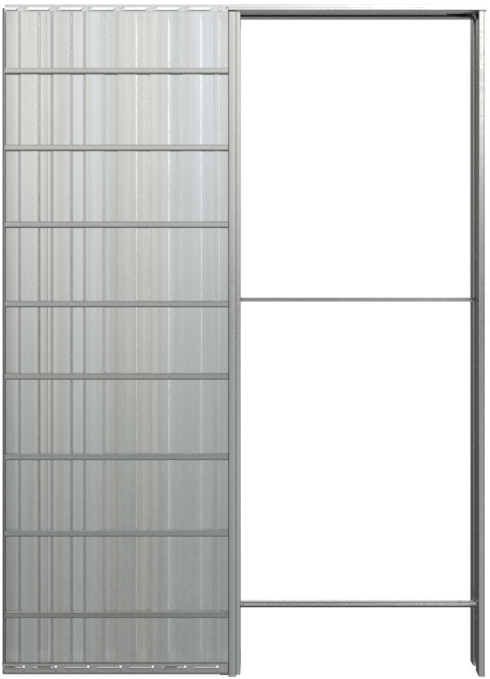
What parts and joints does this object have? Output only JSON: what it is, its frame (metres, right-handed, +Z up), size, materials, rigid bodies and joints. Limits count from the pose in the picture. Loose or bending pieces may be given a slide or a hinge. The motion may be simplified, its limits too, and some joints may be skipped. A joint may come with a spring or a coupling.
{
  "type": "pocket door frame",
  "caption": "Folded-steel pocket door frame: ribbed cavity panel with board bars and keyhole rails, split jamb, header with door track, grooved closing jamb and spacer bars across the doorway.",
  "frame": {"origin": "centre of the underside of the pocket mouth's floor plate, on the floor and on the wall's mid-plane", "axes": "+X from the pocket towards the closing jamb, +Y through the wall away from the viewer, +Z up"},
  "size_m": [1.5, 0.075, 2.085],
  "materials": {
    "sheet_zinc": "galvanised sheet with faint spangle and vertical streaks",
    "bar_zinc": "galvanised strip, satin",
    "rail_zinc": "galvanised strip, satin",
    "post_zinc": "galvanised strip, dull",
    "header_zinc": "galvanised strip, satin",
    "jamb_zinc": "galvanised strip, satin",
    "closing_zinc": "galvanised strip, satin",
    "spacer_zinc": "galvanised strip, satin",
    "fixing_zinc": "galvanised plate, dull",
    "track_alloy": "mill-finish extrusion"
  },
  "bodies": {
    "root": {"rear_post": "post_zinc", "front_pocket_sheet": "sheet_zinc", "back_pocket_sheet": "sheet_zinc", "front_bar_1": "bar_zinc", "front_bar_2": "bar_zinc", "front_bar_3": "bar_zinc", "front_bar_4": "bar_zinc", "front_bar_5": "bar_zinc", "front_bar_6": "bar_zinc", "front_bar_7": "bar_zinc", "front_bar_8": "bar_zinc", "back_bar_1": "bar_zinc", "back_bar_2": "bar_zinc", "back_bar_3": "bar_zinc", "back_bar_4": "bar_zinc", "back_bar_5": "bar_zinc", "back_bar_6": "bar_zinc", "back_bar_7": "bar_zinc", "back_bar_8": "bar_zinc", "front_base_rail": "rail_zinc", "back_base_rail": "rail_zinc", "front_top_rail": "rail_zinc", "back_top_rail": "rail_zinc", "pocket_top_channel": "rail_zinc", "header_channel": "header_zinc", "track": "track_alloy", "front_jamb": "jamb_zinc", "back_jamb": "jamb_zinc", "mouth_floor_plate": "fixing_zinc", "base_tie_1": "fixing_zinc", "base_tie_2": "fixing_zinc", "closing_jamb_lower": "closing_zinc", "closing_jamb_upper": "closing_zinc", "closing_splice": "closing_zinc", "upper_spacer": "spacer_zinc", "lower_spacer": "spacer_zinc"}
  },
  "joints": []
}
